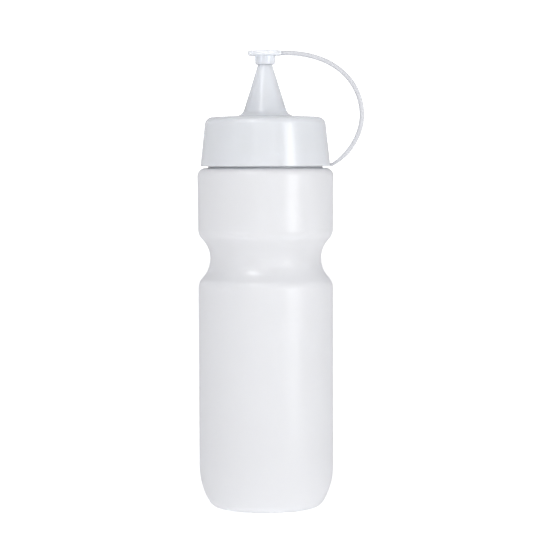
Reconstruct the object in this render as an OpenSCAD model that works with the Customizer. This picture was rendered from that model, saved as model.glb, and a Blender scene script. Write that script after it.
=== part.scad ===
// Condiment squeeze bottle: blown bottle, screw cap with a cone nozzle, and a
// tip cap held by a bent strap. Z is up and the bottle stands on z = 0.

/* [Bottle] */
// Height of the shoulder ledge, where the neck starts
shoulder_h = 174.7; // [145:0.1:215]
// Diameter of the upper barrel, under the shoulder
upper_barrel_d = 70; // [58:0.5:86]
// Diameter of the upper barrel at its foot, above the waist
upper_foot_d = 69.4; // [57.5:0.1:86]
// Diameter of the lower barrel
lower_barrel_d = 69.2; // [57:0.1:86]
// Wall thickness of the blown body
body_wall = 1.2; // [0.8:0.1:2]
// Rounding between the upper barrel and the shoulder ledge
shoulder_r = 4; // [2:0.5:7]
// Drop from the shoulder ledge to the middle of the waist
waist_drop = 46.5; // [38:0.1:58]
// Smallest diameter of the waist
waist_d = 57.4; // [46:0.2:66]
// Radius of the waist's hollow
waist_r = 14.5; // [11:0.5:18]
// Rounding where the waist runs out into the barrels
waist_corner_r = 7.5; // [4:0.5:10]
// Height at which the heel starts to lean in
heel_h = 11.6; // [9:0.1:14]
// Rounding between the lower barrel and the heel
heel_r = 36; // [20:1:42]
// Rounding between the heel and the standing ring
foot_r = 6.4; // [3:0.1:8]
// Inner diameter of the standing ring
foot_inner_d = 44; // [34:0.5:46]
// Depth of the push-up inside the standing ring
push_up = 2.6; // [1:0.1:4]

/* [Neck and thread] */
// Outside diameter of the neck wall, without its thread
neck_d = 56.4; // [46:0.1:68]
// Height of the neck above the shoulder ledge
neck_h = 23.5; // [19:0.1:28]
// Wall thickness of the neck
neck_wall = 1.5; // [1.2:0.1:2]
// How far the bead at the neck's foot stands out
neck_bead = 1.2; // [0.6:0.1:1.4]
// Rise of the thread in one turn
thread_pitch = 4; // [3.3:0.1:5]
// Height of the neck's thread ridge
thread_depth = 1.1; // [0.8:0.1:1.4]
// Height of the thread's start above the shoulder ledge
thread_start = 7.9; // [6:0.1:8.2]
// Turns of thread on the neck
neck_turns = 1.75; // [1:0.05:2]
// Turns of thread in the cap
cap_turns = 2; // [1:0.05:2.2]

/* [Screw cap] */
// Gap between the skirt's rim and the shoulder ledge
skirt_gap = 0.9; // [0.5:0.1:2]
// Wall thickness of the skirt
skirt_wall = 1.35; // [1:0.05:2]
// How much the skirt widens towards its rim, on the radius
skirt_flare = 2.6; // [0.5:0.1:4]
// Thickness of the crown at its edge
crown_t = 1.3; // [1:0.1:2]
// Rise of the crown from its edge to the nozzle
crown_rise = 0.95; // [0:0.05:2]
// Rounding of the crown's edge
crown_r = 4; // [2:0.5:4.5]
// Thickness of the sealing ring under the crown
seal_t = 1; // [0.8:0.1:1.5]

/* [Nozzle and tip cap] */
// Height of the nozzle above the crown
nozzle_h = 29.35; // [24:0.05:36]
// Diameter of the nozzle at its root, before the fillet
nozzle_root_d = 23.45; // [19:0.05:29]
// Diameter of the nozzle at its tip
nozzle_tip_d = 5.1; // [4.6:0.1:6.2]
// Wall thickness of the nozzle at its root
nozzle_wall = 1.35; // [1:0.05:1.8]
// Fillet between the nozzle and the crown
nozzle_fillet = 4.5; // [2:0.5:6]
// Diameter of the outlet in the nozzle's tip
outlet_d = 2.6; // [2.2:0.1:3]
// Diameter of the tip cap's flange
flange_d = 17.7; // [14:0.1:22]
// Thickness of the tip cap's flange
flange_t = 2.45; // [2:0.05:3]
// Length of the tip cap's sleeve below the flange
sleeve_l = 4.6; // [3.6:0.05:5.4]
// Wall thickness of the sleeve at its mouth
sleeve_wall = 1.3; // [1:0.1:2]

/* [Strap] */
// Thickness of the strap along its bend
strap_t = 2.3; // [1.8:0.1:2.4]
// Thickness of the strap where it leaves the skirt
strap_root_t = 1.5; // [1.2:0.1:2.4]
// Width of the strap
strap_w = 3.2; // [2.4:0.1:4.5]
// How far the strap's bend stands out past the skirt's rim
strap_reach = 16.3; // [12:0.1:22]

/* [Hidden] */
$fn = 128;

arc_step = 5;          // degrees for each step of a rounded corner
tiny = 0.001;          // keeps a division away from zero
heel_lean = 30;        // how far the heel leans in from upright
waist_lean = 44;       // steepest lean of the waist's flanks
push_up_run = 6;       // width of the push-up's sloping side
edge_r = 0.3;          // soft edge on moulded rims
fine_edge_r = 0.2;     // soft edge on small details
seal_gap = 0.05;       // seal to its neighbours, above and below
plug_gap = 0.08;       // nozzle inside the sleeve, and pin inside the outlet
thread_gap = 0.35;     // thread crest to the opposite wall, and flank to flank
skirt_top_gap = 0.1;   // thread crest to the skirt's top, measured level
ridge_root_w = 1.6;    // thread ridge where it leaves its wall
ridge_crest_w = 0.8;   // thread ridge at its crest
ridge_bury = 0.4;      // ridge sunk into its wall
ridge_steps = 36;      // sections in one turn of thread
ridge_lead = 5;        // sections over which a thread's end rises
ridge_stub = 0.2;      // height of a thread's end, in sections of its rise

neck_r = neck_d / 2;
neck_top = shoulder_h + neck_h;
bead_h = 2;            // upright part of the bead at the neck's foot
bead_r = 0.5;          // rounding of the bead's upper side
neck_lip_r = 0.4;      // rounding of the neck's rim
neck_root_r = 1;       // rounding inside, from the neck into the shoulder
push_up_r = 3;         // rounding inside the push-up
ring_in_r = 0.8;       // rounding on the inner side of the standing ring

rim_z = shoulder_h + skirt_gap;
crown_under = neck_top + 2 * seal_gap + seal_t;
crown_edge = crown_under + crown_t;
crown_top = crown_edge + crown_rise;
skirt_top_in_r = neck_r + thread_depth + skirt_top_gap;
rim_in_r = skirt_top_in_r + skirt_flare;
rim_r = rim_in_r + skirt_wall;
skirt_lean = skirt_flare / (crown_under - rim_z);

seal_overhang = 1.3;   // seal standing in past the neck's wall
seal_edge = 0.25;      // share of the seal's thickness left upright at its outer edge
seal_chamfer = 0.8;    // run of the seal's chamfer
lip_gap = 1.6;         // neck's inner wall to the lip under the crown
lip_w = 1;             // width of the lip at its foot
lip_h = 1.9;           // how far the lip hangs down
lip_draft = 0.2;       // how much the lip's outer side leans in

tip_z = crown_top + nozzle_h;
tip_r = nozzle_tip_d / 2;
tip_edge_r = 0.4;      // rounding of the nozzle's tip
nozzle_lean = (nozzle_root_d - nozzle_tip_d) / 2 / nozzle_h;
nozzle_in_r = 4;       // rounding inside the nozzle's root
outlet_r = outlet_d / 2;
outlet_land = 1.6;

sleeve_head = 0.4;     // room between the nozzle's tip and the sleeve's end
sleeve_roof = 0.95;    // thickness between the sleeve's end and the flange
sleeve_ease = 0.1;     // extra room in the sleeve at the nozzle's tip
sleeve_draft = 0.35;   // how much the sleeve widens up to the flange
sleeve_edge_r = 0.7;   // rounding of the sleeve's mouth
flange_edge_r = 0.8;   // rounding of the flange's edges
flange_fillet = 0.4;   // fillet between the sleeve and the flange
flange_z = tip_z + sleeve_head + sleeve_roof;
mouth_z = flange_z - sleeve_l;
mouth_r = tip_r + (tip_z - mouth_z) * nozzle_lean + plug_gap;
flange_r = flange_d / 2;
pin_l = 2.5;           // how far the pin reaches below the nozzle's tip
pin_edge_r = 0.5;      // rounding of the pin's end

root_l = 0.9;          // moulded stubs that the strap grows from
stub_bury = 1;         // stub sunk into the flange
strap_gap = 0.15;      // strap to the tip cap's stub
strap_sides = 12;
strap_rings = 24;      // rings along each half of the bend
strap_high = 0.44;     // height of the furthest point, as a share of the rise
strap_lift = 28;       // slope at which the strap leaves the skirt
strap_taper = 0.3;     // share of the lower half over which it thins
strap_square = 0.7;    // section between an oval (1) and a box (0)

// Outlines. Their corners are [x, y, rounding].

function unit(v) = v / norm(v);
function xy(p) = [p.x, p.y];
function left(v) = [-v.y, v.x];
function reversed(list) = [for (i = [len(list) - 1:-1:0]) list[i]];
function swing(from, to) = atan2(cross(from, to), from * to);
function spin(v, a) = [v.x * cos(a) - v.y * sin(a), v.x * sin(a) + v.y * cos(a)];

// Distance from a corner to where its rounding starts
function setback(p, q, s) =
    q[2] * abs(tan(swing(xy(q) - xy(p), xy(s) - xy(q)) / 2));

// A closed outline with its corners rounded, each limited by its two edges
function rounded(c) = let (
        n = len(c),
        want = [for (i = [0:n - 1]) setback(c[(i + n - 1) % n], c[i], c[(i + 1) % n])],
        room = [for (i = [0:n - 1]) let (j = (i + 1) % n)
            norm(xy(c[j]) - xy(c[i])) / max(want[i] + want[j], tiny)]
    ) [for (i = [0:n - 1]) let (
        q = xy(c[i]),
        d = unit(q - xy(c[(i + n - 1) % n])),
        e = unit(xy(c[(i + 1) % n]) - q),
        turn = swing(d, e),
        back = want[i] * min(1, room[i], room[(i + n - 1) % n]),
        r = back / max(abs(tan(turn / 2)), tiny),
        centre = q - back * d + sign(turn) * r * left(d),
        steps = back > tiny ? ceil(abs(turn) / arc_step) : 0
    ) each steps == 0 ? [q] : [for (k = [0:steps])
        centre + spin(q - back * d - centre, turn * k / steps)]];

// The same open run of corners, moved a wall thickness to its left
function inset(c, t) = [for (i = [0:len(c) - 1]) let (
        d = unit(xy(c[max(i, 1)]) - xy(c[max(i, 1) - 1])),
        e = i < len(c) - 1 ? unit(xy(c[i + 1]) - xy(c[i])) : d,
        f = i > 0 ? d : e,
        p = xy(c[i]) + t * (left(f) + left(e)) / (1 + f * e),
        turn = swing(f, e)
    ) [p.x, p.y, c[i][2] == 0 ? 0 : max(c[i][2] - sign(turn) * t, fine_edge_r)]];

waist_z = shoulder_h - waist_drop;
waist_apex = waist_d / 2 + waist_r - waist_r / cos(waist_lean);
function waist_rise(r) = (r - waist_apex) / tan(waist_lean);
lower_r = lower_barrel_d / 2;
upper_r = upper_barrel_d / 2;
upper_foot_r = upper_foot_d / 2;

// Outside of the body from the middle of its foot up to the ledge
body_line = [
    [0, push_up, 0],
    [foot_inner_d / 2 - push_up_run, push_up, push_up_r],
    [foot_inner_d / 2, 0, ring_in_r],
    [lower_r - heel_h * tan(heel_lean), 0, foot_r],
    [lower_r, heel_h, heel_r],
    [lower_r, waist_z - waist_rise(lower_r), waist_corner_r],
    [waist_apex, waist_z, waist_r],
    [upper_foot_r, waist_z + waist_rise(upper_foot_r), waist_corner_r],
    [upper_r, shoulder_h, shoulder_r],
    [neck_r, shoulder_h, 0]];

module bottle() {
    neck_in = neck_r - neck_wall;
    cavity = inset(body_line, body_wall);
    last = len(cavity) - 1;
    color([0.89, 0.9, 0.92, 0.7])
        union() {
            rotate_extrude()
                polygon(rounded(concat(
                    [for (i = [0:len(body_line) - 2]) body_line[i]],
                    [[neck_r + neck_bead, shoulder_h, edge_r],
                     [neck_r + neck_bead, shoulder_h + bead_h, bead_r],
                     [neck_r, shoulder_h + bead_h + neck_bead, bead_r],
                     [neck_r, neck_top, neck_lip_r],
                     [neck_in, neck_top, neck_lip_r],
                     [neck_in, shoulder_h - body_wall, neck_root_r]],
                    reversed([for (i = [0:last - 1]) cavity[i]]))));
            ridge(neck_r - ridge_bury, neck_r, neck_r + thread_depth, 0,
                neck_turns, shoulder_h + thread_start);
        }
}

// Closed skin over rings of points that have the same count
module skin(rings) {
    n = len(rings[0]);
    last = (len(rings) - 1) * n;
    polyhedron(
        points = [for (ring = rings) each ring],
        faces = concat(
            [[for (j = [n - 1:-1:0]) j]],
            [[for (j = [0:n - 1]) last + j]],
            [for (i = [0:len(rings) - 2], j = [0:n - 1]) let (a = i * n + j, b = i * n + (j + 1) % n)
                each [[a, b, b + n], [a, b + n, a + n]]]));
}

// Helical ridge from a buried root to a crest, which rises from the wall at each end.
// Its wall leans by `lean` for each millimetre of height.
module ridge(root_r, wall_r, crest_r, lean, turns, start_z) {
    steps = round(turns * ridge_steps);
    out = sign(crest_r - root_r);
    depth = abs(crest_r - wall_r);
    slope = (ridge_root_w - ridge_crest_w) / 2 / depth;
    skin([for (i = [0:steps]) let (
            a = 360 * i / ridge_steps - 90,
            z = start_z + thread_pitch * i / ridge_steps,
            high = min(1, (min(i, steps - i) + ridge_stub) / ridge_lead),
            root = root_r - lean * (z - start_z),
            crest = root + (crest_r - root) * high,
            root_half = ridge_root_w / 2 + slope * (abs(root_r - wall_r)),
            crest_half = max(root_half - slope * abs(crest - root), ridge_crest_w / 2),
            section = [[root, -root_half], [crest, -crest_half], [crest, crest_half], [root, root_half]]
        ) [for (p = out > 0 ? section : reversed(section)) [p.x * cos(a), p.x * sin(a), z + p.y]]]);
}

module seal_ring() {
    z = neck_top + seal_gap;
    seal_in = neck_r - neck_wall - seal_overhang;
    color("white")
        rotate_extrude()
            polygon([[seal_in, z], [neck_r, z], [neck_r, z + seal_edge * seal_t],
                [neck_r - seal_chamfer, z + seal_t], [seal_in, z + seal_t]]);
}

module screw_cap() {
    lip_r = neck_r - neck_wall - lip_gap;
    lip_foot = crown_under - lip_h;
    lip_in_r = lip_r - lip_draft - lip_w;
    in_root = nozzle_root_d / 2 + (crown_top - crown_under) * nozzle_lean - nozzle_wall;
    crest_r = neck_r + thread_gap;
    start_z = shoulder_h + thread_start - ridge_root_w / 2 - ridge_crest_w / 2 - thread_gap;
    start_r = rim_in_r - (start_z - rim_z) * skirt_lean;
    color([0.8, 0.84, 0.92, 0.6])
        union() {
            rotate_extrude()
                polygon(rounded([
                    [tip_r, tip_z, tip_edge_r],
                    [nozzle_root_d / 2, crown_top, nozzle_fillet],
                    [rim_r - (crown_edge - rim_z) * skirt_lean, crown_edge, crown_r],
                    [rim_r, rim_z, edge_r],
                    [rim_in_r, rim_z, edge_r],
                    [skirt_top_in_r, crown_under, crown_r - crown_t],
                    [lip_r, crown_under, edge_r],
                    [lip_r - lip_draft, lip_foot, edge_r],
                    [lip_in_r, lip_foot, edge_r],
                    [lip_in_r, crown_under, edge_r],
                    [in_root, crown_under, nozzle_in_r],
                    [outlet_r, tip_z - outlet_land, edge_r],
                    [outlet_r, tip_z, fine_edge_r]]));
            ridge(start_r + ridge_bury, start_r, crest_r, skirt_lean, cap_turns, start_z);
            translate([rim_r - skirt_wall / 2, -strap_w / 2, rim_z])
                cube([root_l + skirt_wall / 2, strap_w, strap_root_t]);
        }
}

tip_end = [flange_r + root_l + strap_gap, flange_z + flange_t - strap_t / 2];
rim_end = [rim_r + root_l, rim_z + strap_root_t / 2];
far = [rim_r + strap_reach, rim_end.y + strap_high * (tip_end.y - rim_end.y)];

// Cubic curve through its own handles
function bezier(p, t) = (1 - t) ^ 3 * p[0] + 3 * (1 - t) ^ 2 * t * p[1]
    + 3 * (1 - t) * t ^ 2 * p[2] + t ^ 3 * p[3];

// The strap leaves the flange level, stands upright at its furthest point and
// comes down to the skirt at a slope. Each handle is a share of its bend's run.
tip_handle = 0.66;
far_handle_up = 0.53;
far_handle_down = 0.36;
rim_handle = 0.6;
upper_bend = [tip_end, tip_end + [tip_handle * (far.x - tip_end.x), 0],
    far + [0, far_handle_up * (tip_end.y - far.y)], far];
lower_bend = [far, far - [0, far_handle_down * (far.y - rim_end.y)],
    rim_end + rim_handle * (far.x - rim_end.x) * [1, tan(strap_lift)], rim_end];

module tether_strap() {
    route = concat(
        [for (i = [0:strap_rings - 1]) bezier(upper_bend, i / strap_rings)],
        [for (i = [0:strap_rings]) bezier(lower_bend, i / strap_rings)]);
    last = len(route) - 1;
    color([0.8, 0.84, 0.92, 0.7])
        skin([for (i = [0:last]) let (
                along = i == 0 ? [1, 0] : i == last ? [-1, 0] : unit(route[i + 1] - route[i - 1]),
                thin = min(1, (last - i) / (strap_taper * strap_rings)),
                t = strap_root_t + (strap_t - strap_root_t) * thin
            ) [for (j = [0:strap_sides - 1]) let (
                a = 360 * (j + 0.5) / strap_sides,
                u = sign(cos(a)) * abs(cos(a)) ^ strap_square * t / 2,
                v = sign(sin(a)) * abs(sin(a)) ^ strap_square * strap_w / 2
            ) [route[i].x - along.y * u, v, route[i].y + along.x * u]]]);
}

module tip_cap() {
    roof_z = tip_z + sleeve_head;
    color([0.78, 0.82, 0.92, 0.6])
        union() {
            rotate_extrude()
                polygon(rounded([
                    [0, flange_z + flange_t, 0],
                    [0, tip_z - pin_l, 0],
                    [outlet_r - plug_gap, tip_z - pin_l, pin_edge_r],
                    [outlet_r - plug_gap, roof_z, fine_edge_r],
                    [tip_r + plug_gap + sleeve_ease, roof_z, fine_edge_r],
                    [mouth_r, mouth_z, edge_r],
                    [mouth_r + sleeve_wall, mouth_z, sleeve_edge_r],
                    [mouth_r + sleeve_wall + sleeve_draft, flange_z, flange_fillet],
                    [flange_r, flange_z, flange_edge_r],
                    [flange_r, flange_z + flange_t, flange_edge_r]]));
            translate([flange_r - stub_bury, -strap_w / 2, flange_z])
                cube([root_l + stub_bury, strap_w, flange_t]);
        }
}

bottle();
seal_ring();
screw_cap();
tether_strap();
tip_cap();
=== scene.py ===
import math

import bmesh
import bpy
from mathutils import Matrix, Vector
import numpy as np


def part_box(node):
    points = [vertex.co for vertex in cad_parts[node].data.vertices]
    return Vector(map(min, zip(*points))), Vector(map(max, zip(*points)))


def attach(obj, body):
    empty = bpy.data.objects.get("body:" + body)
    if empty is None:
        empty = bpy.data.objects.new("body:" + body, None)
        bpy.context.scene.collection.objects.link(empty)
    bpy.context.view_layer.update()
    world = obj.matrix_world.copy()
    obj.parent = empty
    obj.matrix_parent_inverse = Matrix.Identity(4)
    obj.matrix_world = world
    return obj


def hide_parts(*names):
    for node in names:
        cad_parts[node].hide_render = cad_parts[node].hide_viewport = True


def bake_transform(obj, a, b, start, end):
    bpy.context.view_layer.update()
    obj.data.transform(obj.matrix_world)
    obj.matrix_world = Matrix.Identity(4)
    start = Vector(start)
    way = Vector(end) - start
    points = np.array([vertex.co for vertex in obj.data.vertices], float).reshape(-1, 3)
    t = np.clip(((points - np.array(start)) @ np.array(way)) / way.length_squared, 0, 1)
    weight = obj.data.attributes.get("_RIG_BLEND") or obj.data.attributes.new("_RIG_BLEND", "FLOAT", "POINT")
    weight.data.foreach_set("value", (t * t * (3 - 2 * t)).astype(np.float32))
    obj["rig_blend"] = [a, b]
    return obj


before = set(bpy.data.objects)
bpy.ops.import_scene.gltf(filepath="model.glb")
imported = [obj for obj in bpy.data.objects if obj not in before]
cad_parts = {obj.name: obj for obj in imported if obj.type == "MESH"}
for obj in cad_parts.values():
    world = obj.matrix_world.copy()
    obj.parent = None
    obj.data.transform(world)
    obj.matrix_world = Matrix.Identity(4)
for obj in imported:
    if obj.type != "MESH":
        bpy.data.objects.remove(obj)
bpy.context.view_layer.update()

mm = 0.001
weldDistance = 0.002 * mm     # closes the seams of a grid
polyethyleneIor = 1.51
leastRounding = 0.2           # millimetres, for a corner whose own rounding the wall uses up
fullyMarked = 0.99            # above this, both ends of a stretch of outline carry the mark
frontTurn = 0.25              # the front, as a share of a turn before +X

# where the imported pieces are, in millimetres
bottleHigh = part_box("bottle")[1] / mm
sealLow, sealHigh = (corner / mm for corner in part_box("seal_ring"))
capLow, capHigh = (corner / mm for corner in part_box("screw_cap"))
strapLow, strapHigh = (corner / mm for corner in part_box("tether_strap"))
tipLow, tipHigh = (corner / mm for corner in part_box("tip_cap"))


def linear(hexText):
    # sRGB hex to the linear values that shaders want
    parts = [int(hexText[i:i + 2], 16) / 255 for i in (1, 3, 5)]
    return tuple(c / 12.92 if c <= 0.04045 else ((c + 0.055) / 1.055) ** 2.4 for c in parts) + (1.0,)


def addNode(tree, kind, settings=None, inputs=None):
    node = tree.nodes.new(kind)
    for name, value in (settings or {}).items():
        setattr(node, name, value)
    for key, value in (inputs or {}).items():
        if isinstance(value, bpy.types.Node):
            value = value.outputs[0]
        if isinstance(value, bpy.types.NodeSocket):
            tree.links.new(value, node.inputs[key])
        else:
            node.inputs[key].default_value = value
    return node


def addInput(tree, name, kind, value=None):
    socket = tree.interface.new_socket(name=name, in_out="INPUT", socket_type="NodeSocket" + kind)
    if value is not None:
        socket.default_value = value


def inset(corners, distance):
    # the same open run of corners, moved a wall thickness to its left
    points = [Vector(c[:2]) for c in corners]
    moved = []
    for i, corner in enumerate(corners):
        before = (points[max(i, 1)] - points[max(i, 1) - 1]).normalized()
        after = (points[i + 1] - points[i]).normalized() if i < len(points) - 1 else before
        before = before if i > 0 else after
        leftBefore = Vector((-before.y, before.x))
        leftAfter = Vector((-after.y, after.x))
        place = points[i] + distance * (leftBefore + leftAfter) / (1 + before.dot(after))
        turn = before.x * after.y - before.y * after.x
        rounding = corner[2] - math.copysign(distance, turn) if corner[2] else 0
        moved.append((place.x, place.y, max(rounding, leastRounding)))
    return moved


def bezier(p, t):
    return ((1 - t) ** 3 * p[0] + 3 * (1 - t) ** 2 * t * p[1]
            + 3 * (1 - t) * t ** 2 * p[2] + t ** 3 * p[3])


def finishTree(tree, shape, material):
    # both trees end alike: seams closed, shaded smooth, made real and given their material
    merged = addNode(tree, "GeometryNodeMergeByDistance", None,
                     {"Geometry": shape, "Distance": weldDistance})
    smooth = addNode(tree, "GeometryNodeSetShadeSmooth", None, {"Geometry": merged})
    real = addNode(tree, "GeometryNodeRealizeInstances", None, {"Geometry": smooth})
    finish = addNode(tree, "GeometryNodeSetMaterial", None, {"Geometry": real, "Material": material})
    addNode(tree, "NodeGroupOutput", None, {0: finish})


def makeLatheTree():
    # a turned wall, with a thread ridge where the outline is marked for it
    tree = bpy.data.node_groups.new("turnedWall", "GeometryNodeTree")
    addInput(tree, "Outline", "Geometry")
    addInput(tree, "Segments", "Int", 192)
    addInput(tree, "Corner Steps", "Int", 10)
    addInput(tree, "Longest Step", "Float", 0.003)
    addInput(tree, "Thread Crest Radius", "Float", 0.0)
    addInput(tree, "Thread Start", "Float", 0.0)
    addInput(tree, "Thread Pitch", "Float", 0.004)
    addInput(tree, "Thread Turns", "Float", 0.0)
    addInput(tree, "Thread Lead", "Float", 0.14)
    addInput(tree, "Thread Root Width", "Float", 0.0016)
    addInput(tree, "Thread Crest Width", "Float", 0.0008)
    addInput(tree, "Finish", "Material")
    tree.interface.new_socket(name="Wall", in_out="OUTPUT", socket_type="NodeSocketGeometry")
    given = addNode(tree, "NodeGroupInput").outputs
    pitch = given["Thread Pitch"]

    # the outline's corners become arcs, and its long straights get more points
    line = addNode(tree, "GeometryNodeMeshToCurve", None, {"Mesh": given["Outline"]})
    rounding = addNode(tree, "GeometryNodeInputNamedAttribute", {"data_type": "FLOAT"},
                       {"Name": "rounding"})
    arcs = addNode(tree, "GeometryNodeFilletCurve", {"mode": "POLY"}, {
        "Curve": line,
        "Count": given["Corner Steps"],
        "Radius": rounding,
        "Limit Radius": True,
    })
    here = addNode(tree, "GeometryNodeInputPosition")
    index = addNode(tree, "GeometryNodeInputIndex")
    following = addNode(tree, "ShaderNodeMath", {"operation": "ADD"}, {0: index, 1: 1.0})
    nextPlace = addNode(tree, "GeometryNodeFieldAtIndex", {"data_type": "FLOAT_VECTOR"},
                        {"Index": following, "Value": here})
    gap = addNode(tree, "ShaderNodeVectorMath", {"operation": "DISTANCE"}, {0: here, 1: nextPlace})
    steps = addNode(tree, "ShaderNodeMath", {"operation": "DIVIDE"},
                    {0: gap.outputs["Value"], 1: given["Longest Step"]})
    cuts = addNode(tree, "ShaderNodeMath", {"operation": "FLOOR"}, {0: steps})
    fine = addNode(tree, "GeometryNodeSubdivideCurve", None, {"Curve": arcs, "Cuts": cuts})
    size = addNode(tree, "GeometryNodeAttributeDomainSize", {"component": "CURVE"}, {0: fine})
    count = size.outputs["Point Count"]

    # a grid of rings, each vertex sampled from the outline and turned about Z
    rings = addNode(tree, "ShaderNodeMath", {"operation": "ADD"}, {0: count, 1: 1.0})
    columns = addNode(tree, "ShaderNodeMath", {"operation": "ADD"}, {0: given["Segments"], 1: 1.0})
    grid = addNode(tree, "GeometryNodeMeshGrid", None, {"Vertices X": columns, "Vertices Y": rings})
    centred = addNode(tree, "ShaderNodeMath", {"operation": "ADD"}, {0: index, 1: 0.5})
    passed = addNode(tree, "ShaderNodeMath", {"operation": "DIVIDE"}, {0: centred, 1: rings})
    column = addNode(tree, "ShaderNodeMath", {"operation": "FLOOR"}, {0: passed})
    first = addNode(tree, "ShaderNodeMath", {"operation": "MULTIPLY"}, {0: column, 1: rings})
    ring = addNode(tree, "ShaderNodeMath", {"operation": "SUBTRACT"}, {0: index, 1: first})
    row = addNode(tree, "ShaderNodeMath", {"operation": "MODULO"}, {0: ring, 1: count})
    turns = addNode(tree, "ShaderNodeMath", {"operation": "DIVIDE"}, {0: column, 1: given["Segments"]})
    outline = addNode(tree, "GeometryNodeSampleIndex", {"data_type": "FLOAT_VECTOR", "domain": "POINT"},
                      {"Geometry": fine, "Value": here, "Index": row})
    place = addNode(tree, "ShaderNodeSeparateXYZ", None, {0: outline}).outputs
    threadMark = addNode(tree, "GeometryNodeInputNamedAttribute", {"data_type": "FLOAT"},
                         {"Name": "threaded"})
    marked = addNode(tree, "GeometryNodeSampleIndex", {"data_type": "FLOAT", "domain": "POINT"},
                     {"Geometry": fine, "Value": threadMark, "Index": row})

    # the nearest turn of the thread's helix, and how far along the thread it is
    climb = addNode(tree, "ShaderNodeMath", {"operation": "SUBTRACT"},
                    {0: place["Z"], 1: given["Thread Start"]})
    rise = addNode(tree, "ShaderNodeMath", {"operation": "DIVIDE"}, {0: climb, 1: pitch})
    ahead = addNode(tree, "ShaderNodeMath", {"operation": "SUBTRACT"}, {0: rise, 1: turns})
    nearest = addNode(tree, "ShaderNodeMath", {"operation": "ROUND"}, {0: ahead})
    along = addNode(tree, "ShaderNodeMath", {"operation": "ADD"}, {0: turns, 1: nearest})
    miss = addNode(tree, "ShaderNodeMath", {"operation": "SUBTRACT"}, {0: rise, 1: along})
    missed = addNode(tree, "ShaderNodeMath", {"operation": "ABSOLUTE"}, {0: miss})
    off = addNode(tree, "ShaderNodeMath", {"operation": "MULTIPLY"}, {0: missed, 1: pitch})
    rootHalf = addNode(tree, "ShaderNodeMath", {"operation": "MULTIPLY"},
                       {0: given["Thread Root Width"], 1: 0.5})
    crestHalf = addNode(tree, "ShaderNodeMath", {"operation": "MULTIPLY"},
                        {0: given["Thread Crest Width"], 1: 0.5})
    flank = addNode(tree, "ShaderNodeMapRange", {"interpolation_type": "SMOOTHSTEP"},
                    {"Value": off, "From Min": rootHalf, "From Max": crestHalf})
    leadIn = addNode(tree, "ShaderNodeMapRange", {"interpolation_type": "SMOOTHSTEP"},
                     {"Value": along, "From Min": 0.0, "From Max": given["Thread Lead"]})
    toEnd = addNode(tree, "ShaderNodeMath", {"operation": "SUBTRACT"},
                    {0: given["Thread Turns"], 1: along})
    leadOut = addNode(tree, "ShaderNodeMapRange", {"interpolation_type": "SMOOTHSTEP"},
                      {"Value": toEnd, "From Min": 0.0, "From Max": given["Thread Lead"]})
    leads = addNode(tree, "ShaderNodeMath", {"operation": "MULTIPLY"}, {0: leadIn, 1: leadOut})
    height = addNode(tree, "ShaderNodeMath", {"operation": "MULTIPLY"}, {0: flank, 1: leads})
    isThread = addNode(tree, "ShaderNodeMath", {"operation": "GREATER_THAN"}, {0: marked, 1: fullyMarked})
    ridge = addNode(tree, "ShaderNodeMath", {"operation": "MULTIPLY"}, {0: height, 1: isThread})
    toCrest = addNode(tree, "ShaderNodeMath", {"operation": "SUBTRACT"},
                      {0: given["Thread Crest Radius"], 1: place["X"]})
    raised = addNode(tree, "ShaderNodeMath", {"operation": "MULTIPLY"}, {0: ridge, 1: toCrest})
    radius = addNode(tree, "ShaderNodeMath", {"operation": "ADD"}, {0: place["X"], 1: raised})

    # turning starts at the front
    fromFront = addNode(tree, "ShaderNodeMath", {"operation": "SUBTRACT"}, {0: turns, 1: frontTurn})
    angle = addNode(tree, "ShaderNodeMath", {"operation": "MULTIPLY"}, {0: fromFront, 1: math.tau})
    cosine = addNode(tree, "ShaderNodeMath", {"operation": "COSINE"}, {0: angle})
    sine = addNode(tree, "ShaderNodeMath", {"operation": "SINE"}, {0: angle})
    x = addNode(tree, "ShaderNodeMath", {"operation": "MULTIPLY"}, {0: radius, 1: cosine})
    y = addNode(tree, "ShaderNodeMath", {"operation": "MULTIPLY"}, {0: radius, 1: sine})
    spot = addNode(tree, "ShaderNodeCombineXYZ", None, {0: x, 1: y, 2: place["Z"]})
    turned = addNode(tree, "GeometryNodeSetPosition", None, {"Geometry": grid, "Position": spot})
    finishTree(tree, turned, given["Finish"])
    return tree


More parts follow.
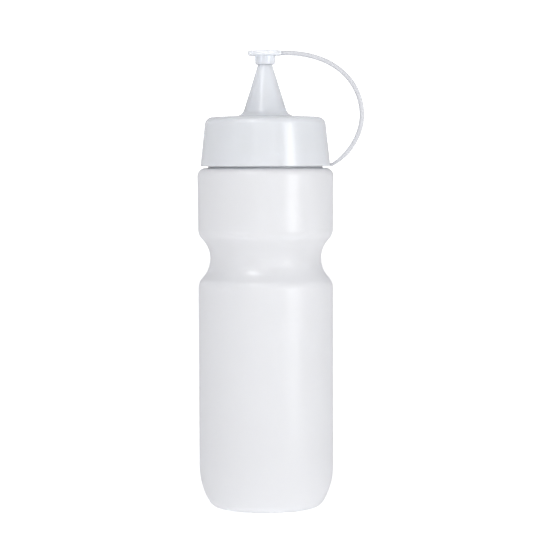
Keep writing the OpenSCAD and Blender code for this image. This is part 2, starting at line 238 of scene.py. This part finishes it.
def makeStrapTree():
    # a flat strap with rounded edges, along a route
    tree = bpy.data.node_groups.new("strapAlongRoute", "GeometryNodeTree")
    addInput(tree, "Route", "Geometry")
    addInput(tree, "Sides", "Int", 32)
    addInput(tree, "Width", "Float", 0.0032)
    addInput(tree, "Thickness", "Float", 0.0023)
    addInput(tree, "Root Thickness", "Float", 0.0015)
    addInput(tree, "Taper Share", "Float", 0.2)
    addInput(tree, "Squareness", "Float", 0.6)
    addInput(tree, "Finish", "Material")
    tree.interface.new_socket(name="Strap", in_out="OUTPUT", socket_type="NodeSocketGeometry")
    given = addNode(tree, "NodeGroupInput").outputs

    # a grid of sections, one at each point of the route
    line = addNode(tree, "GeometryNodeMeshToCurve", None, {"Mesh": given["Route"]})
    size = addNode(tree, "GeometryNodeAttributeDomainSize", {"component": "CURVE"}, {0: line})
    around = addNode(tree, "ShaderNodeMath", {"operation": "ADD"}, {0: given["Sides"], 1: 1.0})
    grid = addNode(tree, "GeometryNodeMeshGrid", None,
                   {"Vertices X": size.outputs["Point Count"], "Vertices Y": around})
    index = addNode(tree, "GeometryNodeInputIndex")
    centred = addNode(tree, "ShaderNodeMath", {"operation": "ADD"}, {0: index, 1: 0.5})
    passed = addNode(tree, "ShaderNodeMath", {"operation": "DIVIDE"}, {0: centred, 1: around})
    column = addNode(tree, "ShaderNodeMath", {"operation": "FLOOR"}, {0: passed})
    first = addNode(tree, "ShaderNodeMath", {"operation": "MULTIPLY"}, {0: column, 1: around})
    row = addNode(tree, "ShaderNodeMath", {"operation": "SUBTRACT"}, {0: index, 1: first})
    fields = {
        "middle": ("FLOAT_VECTOR", addNode(tree, "GeometryNodeInputPosition")),
        "tangent": ("FLOAT_VECTOR", addNode(tree, "GeometryNodeInputTangent")),
        "share": ("FLOAT", addNode(tree, "GeometryNodeSplineParameter")),
        "swell": ("FLOAT", addNode(tree, "GeometryNodeInputNamedAttribute", {"data_type": "FLOAT"},
                                   {"Name": "swell"})),
    }
    route = {}
    for name, (kind, field) in fields.items():
        route[name] = addNode(tree, "GeometryNodeSampleIndex", {"data_type": kind, "domain": "POINT"},
                              {"Geometry": line, "Value": field, "Index": column})

    # a rounded-box section, which thins towards the skirt
    taperStart = addNode(tree, "ShaderNodeMath", {"operation": "SUBTRACT"},
                         {0: 1.0, 1: given["Taper Share"]})
    taper = addNode(tree, "ShaderNodeMapRange", {"interpolation_type": "SMOOTHSTEP"}, {
        "Value": route["share"],
        "From Min": taperStart,
        "From Max": 1.0,
        "To Min": given["Thickness"],
        "To Max": given["Root Thickness"],
    })
    part = addNode(tree, "ShaderNodeMath", {"operation": "DIVIDE"}, {0: row, 1: given["Sides"]})
    angle = addNode(tree, "ShaderNodeMath", {"operation": "MULTIPLY"}, {0: part, 1: math.tau})
    halved = addNode(tree, "ShaderNodeMath", {"operation": "MULTIPLY"}, {0: route["swell"], 1: 0.5})
    reach = {}
    for wave, width in (("COSINE", taper), ("SINE", given["Width"])):
        swing = addNode(tree, "ShaderNodeMath", {"operation": wave}, {0: angle})
        plain = addNode(tree, "ShaderNodeMath", {"operation": "ABSOLUTE"}, {0: swing})
        power = addNode(tree, "ShaderNodeMath", {"operation": "POWER"},
                        {0: plain, 1: given["Squareness"]})
        sign = addNode(tree, "ShaderNodeMath", {"operation": "SIGN"}, {0: swing})
        signed = addNode(tree, "ShaderNodeMath", {"operation": "MULTIPLY"}, {0: sign, 1: power})
        sized = addNode(tree, "ShaderNodeMath", {"operation": "MULTIPLY"}, {0: signed, 1: width})
        reach[wave] = addNode(tree, "ShaderNodeMath", {"operation": "MULTIPLY"}, {0: sized, 1: halved})
    outward = addNode(tree, "ShaderNodeVectorMath", {"operation": "CROSS_PRODUCT"},
                      {0: route["tangent"], 1: (0, 1, 0)})
    lift = addNode(tree, "ShaderNodeVectorMath", {"operation": "SCALE"},
                   {0: outward, "Scale": reach["COSINE"]})
    side = addNode(tree, "ShaderNodeCombineXYZ", None, {1: reach["SINE"]})
    spread = addNode(tree, "ShaderNodeVectorMath", {"operation": "ADD"}, {0: lift, 1: side})
    spot = addNode(tree, "ShaderNodeVectorMath", {"operation": "ADD"}, {0: route["middle"], 1: spread})
    swept = addNode(tree, "GeometryNodeSetPosition", None, {"Geometry": grid, "Position": spot})
    finishTree(tree, swept, given["Finish"])
    return tree


def growPiece(name, points, edges, marks, tree, values):
    # a polyline with its marks goes through the tree and comes back as a plain mesh
    mesh = bpy.data.meshes.new(name)
    mesh.from_pydata([Vector(p) * mm for p in points], edges, [])
    for mark, numbers in marks.items():
        attribute = mesh.attributes.new(mark, "FLOAT", "POINT")
        attribute.data.foreach_set("value", numbers)
    piece = bpy.data.objects.new(name, mesh)
    bpy.context.scene.collection.objects.link(piece)
    modifier = piece.modifiers.new(tree.name, "NODES")
    modifier.node_group = tree
    identifiers = {item.name: item.identifier for item in tree.interface.items_tree
                   if item.item_type == "SOCKET" and item.in_out == "INPUT"}
    for key, value in values.items():
        modifier[identifiers[key]] = value
    evaluated = piece.evaluated_get(bpy.context.evaluated_depsgraph_get())
    finished = bpy.data.meshes.new_from_object(evaluated)
    piece.modifiers.clear()
    piece.data = finished
    bpy.data.meshes.remove(mesh)
    finished.name = name
    shape = bmesh.new()
    shape.from_mesh(finished)
    bmesh.ops.remove_doubles(shape, verts=shape.verts, dist=weldDistance)
    bmesh.ops.recalc_face_normals(shape, faces=shape.faces)
    shape.to_mesh(finished)
    shape.free()
    for mark in list(finished.attributes):
        if mark.name in marks:
            finished.attributes.remove(mark)
    print(name, "has", len(finished.polygons), "faces")
    return piece


def turnPiece(name, outline, finish, values, threaded=()):
    # outline: closed run of (radius, height, rounding), in millimetres
    count = len(outline)
    points = [(r, 0, z) for r, z, rounding in outline]
    edges = [(i, (i + 1) % count) for i in range(count)]
    marks = {
        "rounding": [rounding * mm for r, z, rounding in outline],
        "threaded": [1.0 if i in threaded else 0.0 for i in range(count)],
    }
    return growPiece(name, points, edges, marks, latheTree, {**values, "Finish": finish})


latheTree = makeLatheTree()
strapTree = makeStrapTree()
print("trees are ready")


def blankMaterial(name):
    material = bpy.data.materials.new(name)
    material.use_nodes = True
    material.node_tree.nodes.clear()
    return material


def blownPolyethylene():
    # natural LDPE, blow-moulded: milky and satin, so a lamp becomes a soft, slightly wavy stripe
    look = {
        "colour": "#F5F7FC",
        "transmission": 0.3,
        "smoothest": 0.28,
        "roughest": 0.34,
        "scatterMm": 3.0,
        "waveMm": 14.0,          # slow waves that the blown wall sets in
        "waveDepthMm": 0.05,
        "waveDetail": 2.0,
        "waveUpright": 0.3,      # below 1, the waves are drawn out along the height
        "grainMm": 1.2,          # blasted skin of the mould, drawn coarse so that it shows
        "grainDepthMm": 0.006,
        "grainDetail": 3.0,
        "noiseRange": (0.3, 0.7),
    }
    material = blankMaterial("blownPolyethylene")
    tree = material.node_tree
    place = addNode(tree, "ShaderNodeTexCoord").outputs["Object"]
    stretch = addNode(tree, "ShaderNodeMapping", None, {0: place, "Scale": (1, 1, look["waveUpright"])})
    waves = addNode(tree, "ShaderNodeTexNoise", None,
                    {"Vector": stretch, "Scale": 1 / (look["waveMm"] * mm), "Detail": look["waveDetail"]})
    waveBump = addNode(tree, "ShaderNodeBump", None,
                       {"Height": waves, "Distance": look["waveDepthMm"] * mm})
    grain = addNode(tree, "ShaderNodeTexNoise", None,
                    {"Vector": place, "Scale": 1 / (look["grainMm"] * mm), "Detail": look["grainDetail"]})
    bump = addNode(tree, "ShaderNodeBump", None,
                   {"Height": grain, "Distance": look["grainDepthMm"] * mm, "Normal": waveBump})
    gloss = addNode(tree, "ShaderNodeMapRange", None,
                    {"Value": waves, "From Min": look["noiseRange"][0], "From Max": look["noiseRange"][1],
                     "To Min": look["smoothest"], "To Max": look["roughest"]})
    skin = addNode(tree, "ShaderNodeBsdfPrincipled", None, {
        "Base Color": linear(look["colour"]),
        "Roughness": gloss,
        "IOR": polyethyleneIor,
        "Transmission Weight": look["transmission"],
        "Subsurface Weight": 1.0,
        "Subsurface Radius": (1.0, 1.0, 1.0),
        "Subsurface Scale": look["scatterMm"] * mm,
        "Normal": bump,
    })
    addNode(tree, "ShaderNodeOutputMaterial", None, {"Surface": skin})
    return material


def mouldedPolyethylene(name, colour, transmission, scatter):
    # natural LDPE, injection-moulded: glossier than the bottle, so a lamp's edge stays crisp on it
    look = {
        "smoothest": 0.16,
        "roughest": 0.24,
        "scatterMm": 3.0,
        "flowMm": 9.0,           # flow marks of the moulding
        "flowDepthMm": 0.03,
        "flowDetail": 3.0,
        "noiseRange": (0.3, 0.7),
    }
    material = blankMaterial(name)
    tree = material.node_tree
    place = addNode(tree, "ShaderNodeTexCoord").outputs["Object"]
    flow = addNode(tree, "ShaderNodeTexNoise", None,
                   {"Vector": place, "Scale": 1 / (look["flowMm"] * mm), "Detail": look["flowDetail"]})
    bump = addNode(tree, "ShaderNodeBump", None,
                   {"Height": flow, "Distance": look["flowDepthMm"] * mm})
    gloss = addNode(tree, "ShaderNodeMapRange", None,
                    {"Value": flow, "From Min": look["noiseRange"][0], "From Max": look["noiseRange"][1],
                     "To Min": look["smoothest"], "To Max": look["roughest"]})
    skin = addNode(tree, "ShaderNodeBsdfPrincipled", None, {
        "Base Color": linear(colour),
        "Roughness": gloss,
        "IOR": polyethyleneIor,
        "Transmission Weight": transmission,
        "Subsurface Weight": scatter,
        "Subsurface Radius": (1.0, 1.0, 1.0),
        "Subsurface Scale": look["scatterMm"] * mm,
        "Normal": bump,
    })
    addNode(tree, "ShaderNodeOutputMaterial", None, {"Surface": skin})
    return material


def foamedPolyethylene():
    # expanded PE sheet, die-cut: matt white with fine closed cells
    look = {
        "colour": "#F1F1EE",
        "roughness": 0.8,
        "ior": 1.5,
        "cellMm": 0.5,
        "cellDepthMm": 0.04,
    }
    material = blankMaterial("foamedPolyethylene")
    tree = material.node_tree
    place = addNode(tree, "ShaderNodeTexCoord").outputs["Object"]
    cells = addNode(tree, "ShaderNodeTexVoronoi", None,
                    {"Vector": place, "Scale": 1 / (look["cellMm"] * mm)})
    bump = addNode(tree, "ShaderNodeBump", None,
                   {"Height": cells.outputs["Distance"], "Distance": look["cellDepthMm"] * mm})
    skin = addNode(tree, "ShaderNodeBsdfPrincipled", None, {
        "Base Color": linear(look["colour"]),
        "Roughness": look["roughness"],
        "IOR": look["ior"],
        "Normal": bump,
    })
    addNode(tree, "ShaderNodeOutputMaterial", None, {"Surface": skin})
    return material


bottleFinish = blownPolyethylene()
capFinish = mouldedPolyethylene("mouldedPolyethylene", "#F0F4FE", 0.33, 1.0)
strapFinish = mouldedPolyethylene("paintedShadeStrapPolyethylene", "#CDCED1", 0.2, 0.0)    # grey, darker than the cap's own plastic: painted shade that tones down the strap
sealFinish = foamedPolyethylene()
print("materials are ready")


bottle = {
    "wall": 1.2,
    "upperRadius": 34.98,    # where the shoulder's rounding would come to a corner
    "upperFootRadius": 34.7,
    "lowerRadius": 34.6,
    "shoulderRounding": 4.0,
    "waistDrop": 46.5,       # from the shoulder ledge to the waist's middle
    "waistRadius": 28.7,
    "waistHollow": 14.5,
    "waistCorner": 7.5,
    "waistLean": 44.0,       # degrees from upright
    "heelHeight": 11.6,
    "heelLean": 30.0,
    "heelRounding": 36.0,
    "footRounding": 6.4,
    "footInnerRadius": 22.0,
    "ringRounding": 0.8,
    "pushUp": 2.6,
    "pushUpRun": 6.0,
    "pushUpRounding": 3.0,
    "neckRadius": sealHigh.x,
    "neckHeight": 23.5,
    "neckWall": 1.5,
    "neckRootRounding": 1.0,
    "neckLipRounding": 0.4,
    "beadOut": 1.2,
    "beadHeight": 2.0,
    "beadRounding": 0.5,
    "edgeRounding": 0.3,
    "threadDepth": 1.1,
    "threadPitch": 4.0,
    "threadStart": 7.9,      # above the shoulder ledge
    "threadTurns": 1.75,
    "segments": 192,
    "longestStep": 3.0,
}


def makeBottle():
    b = bottle
    upper, upperFoot, lower = b["upperRadius"], b["upperFootRadius"], b["lowerRadius"]
    neck = b["neckRadius"]
    neckTop = bottleHigh.z
    ledge = neckTop - b["neckHeight"]
    waist = ledge - b["waistDrop"]
    lean = math.radians(b["waistLean"])
    heelLean = math.radians(b["heelLean"])
    apex = b["waistRadius"] + b["waistHollow"] - b["waistHollow"] / math.cos(lean)
    body = [
        (0, b["pushUp"], 0),
        (b["footInnerRadius"] - b["pushUpRun"], b["pushUp"], b["pushUpRounding"]),
        (b["footInnerRadius"], 0, b["ringRounding"]),
        (lower - b["heelHeight"] * math.tan(heelLean), 0, b["footRounding"]),
        (lower, b["heelHeight"], b["heelRounding"]),
        (lower, waist - (lower - apex) / math.tan(lean), b["waistCorner"]),
        (apex, waist, b["waistHollow"]),
        (upperFoot, waist + (upperFoot - apex) / math.tan(lean), b["waistCorner"]),
        (upper, ledge, b["shoulderRounding"]),
        (neck, ledge, 0),
    ]
    cavity = inset(body, b["wall"])[:-1]
    mouth = neck - b["neckWall"]
    bead = neck + b["beadOut"]
    neckFoot = (neck, ledge + b["beadHeight"] + b["beadOut"], b["beadRounding"])
    outline = body[:-1] + [
        (bead, ledge, b["edgeRounding"]),
        (bead, ledge + b["beadHeight"], b["beadRounding"]),
        neckFoot,
        (neck, neckTop, b["neckLipRounding"]),
        (mouth, neckTop, b["neckLipRounding"]),
        (mouth, ledge - b["wall"], b["neckRootRounding"]),
    ] + cavity[::-1]
    threadFoot = outline.index(neckFoot)
    piece = turnPiece("bottle_blown", outline, bottleFinish, {
        "Segments": b["segments"],
        "Longest Step": b["longestStep"] * mm,
        "Thread Crest Radius": (neck + b["threadDepth"]) * mm,
        "Thread Start": (ledge + b["threadStart"]) * mm,
        "Thread Pitch": b["threadPitch"] * mm,
        "Thread Turns": b["threadTurns"],
    }, threaded=(threadFoot, threadFoot + 1))
    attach(piece, "bottle")
    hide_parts("bottle")


makeBottle()
print("bottle is blown")


seal = {
    "width": 2.8,
    "chamfer": 0.8,
    "edgeShare": 0.25,       # share of the thickness left upright at the outer edge
    "innerRounding": 0.15,
    "outerRounding": 0.1,
    "cornerSteps": 3,
    "segments": 128,
}


def makeSeal():
    outer = sealHigh.x
    inner = outer - seal["width"]
    low, high = sealLow.z, sealHigh.z
    outline = [
        (inner, low, seal["innerRounding"]),
        (outer, low, seal["outerRounding"]),
        (outer, low + (high - low) * seal["edgeShare"], seal["outerRounding"]),
        (outer - seal["chamfer"], high, seal["outerRounding"]),
        (inner, high, seal["innerRounding"]),
    ]
    piece = turnPiece("seal_ring_cut", outline, sealFinish,
                      {"Segments": seal["segments"], "Corner Steps": seal["cornerSteps"]})
    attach(piece, "seal")
    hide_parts("seal_ring")


makeSeal()
print("seal ring is cut")


cap = {
    "skirtWall": 1.35,
    "skirtFlare": 2.6,
    "skirtSlack": 1.2,       # neck wall to the inside of the skirt's top
    "crownWall": 1.3,
    "crownRise": 0.95,
    "crownRounding": 4.0,
    "sealGap": 0.05,
    "nozzleRootRadius": 11.725,
    "nozzleTipRadius": 2.55,
    "nozzleWall": 1.35,
    "nozzleFillet": 4.5,
    "nozzleInnerRounding": 4.0,
    "tipRounding": 0.4,
    "outletRadius": 1.3,
    "outletLand": 1.6,
    "lipSlack": 1.6,         # neck wall to the sealing lip
    "lipWidth": 1.0,
    "lipDepth": 1.9,
    "lipDraft": 0.2,
    "edgeRounding": 0.3,
    "fineRounding": 0.2,
    "threadGap": 0.35,
    "threadUnderNeck": 1.2,  # cap thread below the neck thread, before the gap
    "threadTurns": 2.0,
    "segments": 192,
    "longestStep": 0.6,
}


def capPlaces():
    # heights, radii and leans that the cap's outline and its neighbours share
    places = {}
    places["under"] = sealHigh.z + cap["sealGap"]
    places["edge"] = places["under"] + cap["crownWall"]
    places["top"] = places["edge"] + cap["crownRise"]
    places["skirtTopInner"] = bottle["neckRadius"] + cap["skirtSlack"]
    places["rimInner"] = places["skirtTopInner"] + cap["skirtFlare"]
    places["rim"] = places["rimInner"] + cap["skirtWall"]
    places["skirtLean"] = cap["skirtFlare"] / (places["under"] - capLow.z)
    taper = cap["nozzleRootRadius"] - cap["nozzleTipRadius"]
    places["nozzleLean"] = taper / (capHigh.z - places["top"])
    return places


def makeCap():
    at = capPlaces()
    foot, tip = capLow.z, capHigh.z
    soft = cap["edgeRounding"]
    rootInner = cap["nozzleRootRadius"] + (at["top"] - at["under"]) * at["nozzleLean"] - cap["nozzleWall"]
    lip = bottle["neckRadius"] - bottle["neckWall"] - cap["lipSlack"]
    lipFoot = at["under"] - cap["lipDepth"]
    lipInner = lip - cap["lipDraft"] - cap["lipWidth"]
    outline = [
        (cap["nozzleTipRadius"], tip, cap["tipRounding"]),
        (cap["nozzleRootRadius"], at["top"], cap["nozzleFillet"]),
        (at["rim"] - (at["edge"] - foot) * at["skirtLean"], at["edge"], cap["crownRounding"]),
        (at["rim"], foot, soft),
        (at["rimInner"], foot, soft),
        (at["skirtTopInner"], at["under"], cap["crownRounding"] - cap["crownWall"]),
        (lip, at["under"], soft),
        (lip - cap["lipDraft"], lipFoot, soft),
        (lipInner, lipFoot, soft),
        (lipInner, at["under"], soft),
        (rootInner, at["under"], cap["nozzleInnerRounding"]),
        (cap["outletRadius"], tip - cap["outletLand"], soft),
        (cap["outletRadius"], tip, cap["fineRounding"]),
    ]
    neckThread = bottleHigh.z - bottle["neckHeight"] + bottle["threadStart"]
    threadStart = neckThread - cap["threadUnderNeck"] - cap["threadGap"]
    piece = turnPiece("screw_cap_moulded", outline, capFinish, {
        "Segments": cap["segments"],
        "Longest Step": cap["longestStep"] * mm,
        "Thread Crest Radius": (bottle["neckRadius"] + cap["threadGap"]) * mm,
        "Thread Start": threadStart * mm,
        "Thread Pitch": bottle["threadPitch"] * mm,
        "Thread Turns": cap["threadTurns"],
    }, threaded=(4, 5))     # the two ends of the skirt's inner wall
    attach(piece, "screw_cap")
    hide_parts("screw_cap")


makeCap()
print("screw cap is moulded")


tipCap = {
    "flangeWall": 2.45,
    "flangeRounding": 0.8,
    "flangeFillet": 0.4,
    "plugGap": 0.08,
    "sleeveEase": 0.1,
    "sleeveWall": 1.3,
    "sleeveDraft": 0.35,
    "sleeveRounding": 0.7,
    "sleeveHead": 0.4,       # room over the nozzle's tip
    "pinLength": 2.5,
    "pinRounding": 0.5,
    "edgeRounding": 0.3,
    "fineRounding": 0.2,
    "segments": 96,
    "longestStep": 0.6,
}


def makeTipCap():
    t = tipCap
    tip = capHigh.z
    flangeTop, mouth = tipHigh.z, tipLow.z
    flangeLow = flangeTop - t["flangeWall"]
    flange = -tipLow.x
    bore = cap["nozzleTipRadius"] + (tip - mouth) * capPlaces()["nozzleLean"] + t["plugGap"]
    pin = cap["outletRadius"] - t["plugGap"]
    pinFoot = tip - t["pinLength"]
    roof = tip + t["sleeveHead"]
    sleeve = bore + t["sleeveWall"]
    outline = [
        (0, flangeTop, 0),
        (0, pinFoot, 0),
        (pin, pinFoot, t["pinRounding"]),
        (pin, roof, t["fineRounding"]),
        (cap["nozzleTipRadius"] + t["plugGap"] + t["sleeveEase"], roof, t["fineRounding"]),
        (bore, mouth, t["edgeRounding"]),
        (sleeve, mouth, t["sleeveRounding"]),
        (sleeve + t["sleeveDraft"], flangeLow, t["flangeFillet"]),
        (flange, flangeLow, t["flangeRounding"]),
        (flange, flangeTop, t["flangeRounding"]),
    ]
    piece = turnPiece("tip_cap_moulded", outline, capFinish,
                      {"Segments": t["segments"], "Longest Step": t["longestStep"] * mm})
    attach(piece, "tip_cap")
    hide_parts("tip_cap")


makeTipCap()
print("tip cap is moulded")


strap = {
    "width": 3.1,
    "thickness": 2.3,
    "rootThickness": 1.5,
    "squareness": 0.6,       # section between an oval (1) and a box (0)
    "taperShare": 0.15,      # share of the whole length over which it thins
    "high": 0.44,            # height of the furthest point, as a share of the rise
    "lift": 28.0,            # slope in degrees at which it leaves the skirt
    "tipHandle": 0.66,       # handles of the two bends, each as a share of its run
    "farHandleUp": 0.53,
    "farHandleDown": 0.36,
    "rimHandle": 0.6,
    "intoFlange": 0.6,       # how far it runs into what it grows from
    "intoSkirt": 0.7,
    "rings": 60,             # along each bend
    "sides": 32,
}


def makeStrap():
    s = strap
    tipEnd = Vector((strapLow.x, tipHigh.z - s["thickness"] / 2))
    rimEnd = Vector((capHigh.x, capLow.z + s["rootThickness"] / 2))
    rise = tipEnd.y - rimEnd.y
    far = Vector((strapHigh.x - s["thickness"] / 2, rimEnd.y + s["high"] * rise))
    level = Vector((far.x - tipEnd.x, 0))
    slope = Vector((1, math.tan(math.radians(s["lift"])))) * (far.x - rimEnd.x)
    upperBend = [
        tipEnd,
        tipEnd + s["tipHandle"] * level,
        far + Vector((0, s["farHandleUp"] * (tipEnd.y - far.y))),
        far,
    ]
    lowerBend = [
        far,
        far - Vector((0, s["farHandleDown"] * (far.y - rimEnd.y))),
        rimEnd + s["rimHandle"] * slope,
        rimEnd,
    ]
    rings = s["rings"]
    route = [bezier(upperBend, i / rings) for i in range(rings)]
    route += [bezier(lowerBend, i / rings) for i in range(rings + 1)]
    inFlange = Vector((-tipLow.x - s["intoFlange"], tipEnd.y))
    inSkirt = Vector((capPlaces()["rim"] - s["intoSkirt"], rimEnd.y))
    route = [inFlange, inFlange] + route + [inSkirt, inSkirt]
    swell = [0.0] + [1.0] * (len(route) - 2) + [0.0]    # the doubled end points close the ends
    points = [(p.x, 0, p.y) for p in route]
    edges = [(i, i + 1) for i in range(len(points) - 1)]
    piece = growPiece("tether_strap_moulded", points, edges, {"swell": swell}, strapTree, {
        "Sides": s["sides"],
        "Width": s["width"] * mm,
        "Thickness": s["thickness"] * mm,
        "Root Thickness": s["rootThickness"] * mm,
        "Taper Share": s["taperShare"],
        "Squareness": s["squareness"],
        "Finish": strapFinish,
    })
    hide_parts("tether_strap")
    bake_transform(piece, "screw_cap", "tip_cap",
             start=(rimEnd.x * mm, 0, rimEnd.y * mm), end=(tipEnd.x * mm, 0, tipEnd.y * mm))


makeStrap()
print("strap is swept")


studio = {
    "floorSize": 6.0,
    "floorColour": "#FFFFFF",
    "floorRoughness": 0.9,
    "floorGlow": 0.5,
    "backdrop": 1.35,        # what is seen past the object and through it
    "surround": 0.585,       # grey that lights the object and mirrors in it
    "coolness": 1.05,        # blue in that grey, over red
    "softboxes": [           # name, azimuth, elevation, distance, size, watts
        ("stripRight", 46, 5, 1.6, (0.5, 0.7), 7.5),
        ("keyLeft", -30, 48, 1.3, (0.2, 0.35), 4.0),
        ("front", 0, 18, 2.0, (1.5, 1.5), 5.0),
    ],
    "lampAim": (0, 0, 0.11),
    "cameraAway": 1.15,
    "cameraHeight": 0.178,
    "cameraSide": 0.0004,
    "aimHeight": 0.124,
    "lens": 151.0,
    "sensorWidth": 36,
    "farthest": 20,
    "roll": 0.19,
}


def makeFloor():
    half = studio["floorSize"] / 2
    mesh = bpy.data.meshes.new("floor")
    mesh.from_pydata([(-half, -half, 0), (half, -half, 0), (half, half, 0), (-half, half, 0)],
                     [], [(0, 1, 2, 3)])
    floor = bpy.data.objects.new("floor", mesh)
    bpy.context.scene.collection.objects.link(floor)
    material = blankMaterial("paperSweep")
    tree = material.node_tree
    skin = addNode(tree, "ShaderNodeBsdfPrincipled", None, {
        "Base Color": linear(studio["floorColour"]),
        "Roughness": studio["floorRoughness"],
        "Emission Color": (1, 1, 1, 1),
        "Emission Strength": studio["floorGlow"],
    })
    addNode(tree, "ShaderNodeOutputMaterial", None, {"Surface": skin})
    mesh.materials.append(material)
    floor.visible_glossy = False


def makeSurround():
    world = bpy.data.worlds.new("studio")
    bpy.context.scene.world = world
    world.use_nodes = True
    tree = world.node_tree
    tree.nodes.clear()
    grey = studio["surround"]
    cool = grey * studio["coolness"]
    backdrop = addNode(tree, "ShaderNodeBackground", None,
                       {"Strength": studio["backdrop"], "Color": (1, 1, 1, 1)})
    around = addNode(tree, "ShaderNodeBackground", None, {"Color": (grey, grey, cool, 1)})
    path = addNode(tree, "ShaderNodeLightPath").outputs
    seen = addNode(tree, "ShaderNodeMath", {"operation": "ADD", "use_clamp": True},
                   {0: path["Is Camera Ray"], 1: path["Is Transmission Ray"]})
    mix = addNode(tree, "ShaderNodeMixShader", None, {0: seen, 1: around, 2: backdrop})
    addNode(tree, "ShaderNodeOutputWorld", None, {0: mix})


def addSoftbox(name, azimuth, elevation, away, size, power):
    # azimuth 0 is straight in front of the bottle, growing to the right
    a, e = math.radians(azimuth), math.radians(elevation)
    out = Vector((math.sin(a) * math.cos(e), -math.cos(a) * math.cos(e), math.sin(e)))
    light = bpy.data.lights.new(name, "AREA")
    light.shape = "RECTANGLE"
    light.size, light.size_y = size
    light.energy = power
    lamp = bpy.data.objects.new(name, light)
    lamp.location = Vector(studio["lampAim"]) + out * away
    lamp.rotation_mode = "QUATERNION"
    lamp.rotation_quaternion = (-out).to_track_quat("-Z", "Y")
    bpy.context.scene.collection.objects.link(lamp)


def makeCamera():
    camera = bpy.data.objects.new("camera", bpy.data.cameras.new("camera"))
    camera.data.lens = studio["lens"]
    camera.data.sensor_width = studio["sensorWidth"]
    camera.data.clip_end = studio["farthest"]
    place = Vector((studio["cameraSide"], -studio["cameraAway"], studio["cameraHeight"]))
    aim = Vector((studio["cameraSide"], 0, studio["aimHeight"]))
    camera.location = place
    turn = (aim - place).to_track_quat("-Z", "Y")
    camera.rotation_euler = turn.to_euler()
    camera.rotation_euler.rotate_axis("Z", math.radians(-studio["roll"]))
    bpy.context.scene.collection.objects.link(camera)
    bpy.context.scene.camera = camera


makeFloor()
makeSurround()
for softbox in studio["softboxes"]:
    addSoftbox(*softbox)
makeCamera()
bpy.context.scene.view_settings.view_transform = "Standard"
print("studio is set")
